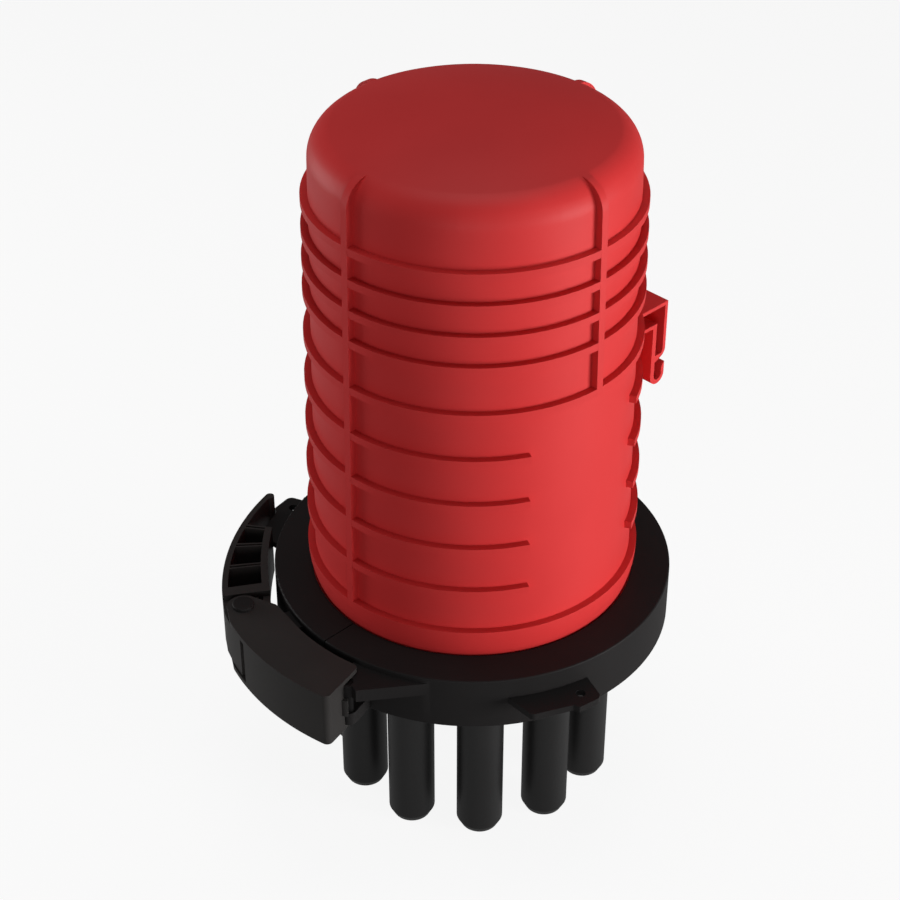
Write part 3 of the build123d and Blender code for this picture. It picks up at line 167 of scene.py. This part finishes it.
# Clamp ring and headed pin: moulded glass filled nylon, which the fibres leave matt and deep black
clampFinish = {"name": "glassFilledNylonBlack", "dark": "#201f1f", "light": "#262424",
               "ior": 1.53, "sheen": 0.08, "roughness": 0.5,
               "grainMm": 0.9, "grainDepthMm": 0.03, "flowMm": 30.0, "edgeMm": 0.4}
finishNodes(mouldedPlastic(clampFinish), ["clamp_half_front", "clamp_half_rear", "block_pin"],
            clampFinish["edgeMm"])

# Latch block and lever: moulded acetal, a shade lighter, browner and smoother than the ring
latchFinish = {"name": "mouldedAcetalBlack", "dark": "#2f2d2c", "light": "#373534",
               "ior": 1.48, "sheen": 0.15, "roughness": 0.42,
               "grainMm": 0.8, "grainDepthMm": 0.02, "flowMm": 25.0, "edgeMm": 0.6}
finishNodes(mouldedPlastic(latchFinish), ["latch_block", "latch_lever"], latchFinish["edgeMm"])

# Base and port tubes: moulded high density polyethylene, waxy, so it takes soft long highlights
baseFinish = {"name": "mouldedPolyethyleneBlack", "dark": "#0d0c0c", "light": "#131212",
              "ior": 1.54, "roughness": 0.42,
              "grainMm": 1.0, "grainDepthMm": 0.02, "flowMm": 40.0, "edgeMm": 0.4}
finishNodes(mouldedPlastic(baseFinish), ["base_body"], baseFinish["edgeMm"])

# Seal: moulded silicone rubber, dull grey
sealFinish = {"name": "siliconeSealGrey", "dark": "#3a3a3c", "light": "#444446",
              "ior": 1.41, "roughness": 0.6,
              "grainMm": 0.5, "grainDepthMm": 0.02, "flowMm": 15.0}
finishNodes(mouldedPlastic(sealFinish), ["sealing_ring"])

# Trays and slack basket: moulded ABS, ivory, with an even half gloss
trayFinish = {"name": "mouldedAbsIvory", "dark": "#d6d3c8", "light": "#dedbd1",
              "ior": 1.53, "roughness": 0.35,
              "grainMm": 0.6, "grainDepthMm": 0.015, "flowMm": 30.0}
finishNodes(mouldedPlastic(trayFinish),
            ["splice_tray_1", "splice_tray_2", "splice_tray_3", "splice_tray_4", "slack_basket"])

# Carrier: moulded ABS, charcoal, a little duller than the trays
carrierFinish = {"name": "mouldedAbsCharcoal", "dark": "#2c2d30", "light": "#34353a",
                 "ior": 1.53, "roughness": 0.4,
                 "grainMm": 0.7, "grainDepthMm": 0.02, "flowMm": 30.0}
finishNodes(mouldedPlastic(carrierFinish), ["tray_carrier"])

# Splice combs: moulded silicone, blue and soft looking
combFinish = {"name": "mouldedSiliconeBlue", "dark": "#31506f", "light": "#395a7c",
              "ior": 1.41, "roughness": 0.5,
              "grainMm": 0.5, "grainDepthMm": 0.015, "flowMm": 12.0}
finishNodes(mouldedPlastic(combFinish), ["splice_combs"])

# Splice sleeves: shrunk polyolefin tube, milky and half clear
sleeveFinish = {"name": "shrinkSleeveClear", "dark": "#dfe4e8", "light": "#eef1f3",
                "ior": 1.5, "roughness": 0.2, "clear": 0.6,
                "grainMm": 0.5, "grainDepthMm": 0.01, "flowMm": 8.0}
finishNodes(mouldedPlastic(sleeveFinish), ["splice_sleeves"])

# Tray cover: moulded polycarbonate, clear and glossy
coverFinish = {"name": "polycarbonateClear", "dark": "#e4e9ec", "light": "#eef2f4",
               "ior": 1.58, "roughness": 0.08, "clear": 0.9,
               "grainMm": 0.8, "grainDepthMm": 0.005, "flowMm": 40.0}
finishNodes(mouldedPlastic(coverFinish), ["tray_cover"])

# Strap: woven nylon, dull black, its weave shown as an uneven grain 1.2 mm wide
strapFinish = {"name": "wovenNylonBlack", "dark": "#141414", "light": "#2a2a2a",
               "ior": 1.53, "roughness": 0.8,
               "grainMm": 1.2, "grainDepthMm": 0.3, "flowMm": 1.2}
finishNodes(mouldedPlastic(strapFinish), ["tray_strap"])

# Rods, screws and member clamps: drawn stainless steel, bright with fine lines along it
steelFinish = {"name": "drawnStainlessSteel", "tone": "#b9bab8", "roughness": 0.3,
               "lineMm": 0.4, "stretch": 0.05}
finishNodes(workedMetal(steelFinish),
            ["tray_hinge_rods", "carrier_screws", "member_clamps", "clamp_screws"])

# Latch and hinge pins: steel blackened against rust, dark enough to vanish in the mouldings
blackSteelFinish = {"name": "blackOxideSteel", "tone": "#2b2a2a", "roughness": 0.42,
                    "lineMm": 0.4, "stretch": 0.05}
finishNodes(workedMetal(blackSteelFinish),
            ["clamp_hinge_pin", "catch_pin", "fulcrum_pin", "pin_clip"])

# Floor: matt paper, grey for the light it bounces, near white for the camera and partly so for
# glossy rays, and its diffuse share keeps the shadow
floorSetup = {"half": 40.0, "belowMm": 0.2, "seenTone": "#f4f4f4", "bounceTone": "#7c7c7c",
              "glow": 0.9, "mirrored": 0.2}
half = floorSetup["half"]
floorMesh = bpy.data.meshes.new("studioFloor")
floorMesh.from_pydata([(-half, -half, 0), (half, -half, 0), (half, half, 0), (-half, half, 0)],
                      [], [(0, 1, 2, 3)])
floor = bpy.data.objects.new("studioFloor", floorMesh)
scene.collection.objects.link(floor)
floor.location.z = -floorSetup["belowMm"] * mm
paper, tree = emptyMaterial("mattPaperWhite")
path = addNode(tree, "ShaderNodeLightPath", {})
tone = addNode(tree, "ShaderNodeMix",
               {"data_type": "RGBA", mix["first"]: linearColour(floorSetup["bounceTone"]),
                mix["second"]: linearColour(floorSetup["seenTone"])},
               [(path.outputs["Is Camera Ray"], mix["factor"])])
matt = addNode(tree, "ShaderNodeBsdfDiffuse", {}, [(tone.outputs[mix["result"]], "Color")])
glow = addNode(tree, "ShaderNodeEmission", {"Color": plainWhite, "Strength": 1.0})
seen = addNode(tree, "ShaderNodeMath", {"operation": "MULTIPLY", 1: floorSetup["glow"]},
               [(path.outputs["Is Camera Ray"], 0)])
mirrored = addNode(tree, "ShaderNodeMath", {"operation": "MULTIPLY", 1: floorSetup["mirrored"]},
                   [(path.outputs["Is Glossy Ray"], 0)])
share = addNode(tree, "ShaderNodeMath", {"operation": "ADD"},
                [(seen.outputs[0], 0), (mirrored.outputs[0], 1)])
blend = addNode(tree, "ShaderNodeMixShader", {},
                [(share.outputs[0], 0), (matt.outputs[0], 1), (glow.outputs[0], 2)])
addNode(tree, "ShaderNodeOutputMaterial", {}, [(blend.outputs[0], "Surface")])
dress(floor, paper)
print("floor laid")

# World: white where the camera looks past the floor, dim where it lights the object
worldSetup = {"fill": 0.1, "seen": 1.0}
world = bpy.data.worlds.new("studioWorld")
scene.world = world
world.use_nodes = True
tree = world.node_tree
tree.nodes.clear()
path = addNode(tree, "ShaderNodeLightPath", {})
seen = addNode(tree, "ShaderNodeMath", {"operation": "MAXIMUM"},
               [(path.outputs["Is Camera Ray"], 0), (path.outputs["Is Transmission Ray"], 1)])
fill = addNode(tree, "ShaderNodeBackground", {"Color": plainWhite, "Strength": worldSetup["fill"]})
white = addNode(tree, "ShaderNodeBackground", {"Color": plainWhite, "Strength": worldSetup["seen"]})
blend = addNode(tree, "ShaderNodeMixShader", {},
                [(seen.outputs[0], 0), (fill.outputs[0], 1), (white.outputs[0], 2)])
addNode(tree, "ShaderNodeOutputWorld", {}, [(blend.outputs[0], "Surface")])

# Soft boxes: the key low on the right, weaker ones left, in front and above, in metres and watts
softBoxes = [
    {"name": "keyBox", "place": (1.13, -0.5, 0.16), "aim": (0, 0, 0.22),
     "size": 0.6, "power": 18.0},
    {"name": "leftBox", "place": (-1.13, 0.41, 0.2), "aim": (0, 0, 0.2),
     "size": 0.8, "power": 7.4},
    {"name": "frontBox", "place": (-0.05, -1.35, 0.25), "aim": (0, 0, 0.2),
     "size": 0.8, "power": 4.5},
    {"name": "topBox", "place": (0.0, 0.1, 1.5), "aim": (0, 0, 0.2),
     "size": 0.9, "power": 5.4},
]
for box in softBoxes:
    lamp = bpy.data.lights.new(box["name"], "AREA")
    lamp.shape = "DISK"
    lamp.size = box["size"]
    lamp.energy = box["power"]
    holder = bpy.data.objects.new(box["name"], lamp)
    scene.collection.objects.link(holder)
    holder.location = box["place"]
    beam = Vector(box["aim"]) - Vector(box["place"])
    holder.rotation_euler = beam.to_track_quat("-Z", "Y").to_euler()
print("studio lit with", len(softBoxes), "soft boxes")

# Camera: found from the ellipses of the clamp ring and ribs in the photograph
cameraSetup = {"lens": 81.466, "sensor": 36.0, "place": (-0.011155, -0.82056, 0.75797),
               "pitch": 55.241}
lens = bpy.data.cameras.new("photoCamera")
lens.sensor_width = cameraSetup["sensor"]
lens.lens = cameraSetup["lens"]
camera = bpy.data.objects.new("photoCamera", lens)
scene.collection.objects.link(camera)
camera.location = cameraSetup["place"]
camera.rotation_euler = (math.radians(cameraSetup["pitch"]), 0, 0)
scene.camera = camera
scene.view_settings.view_transform = "Standard"
print("camera set")
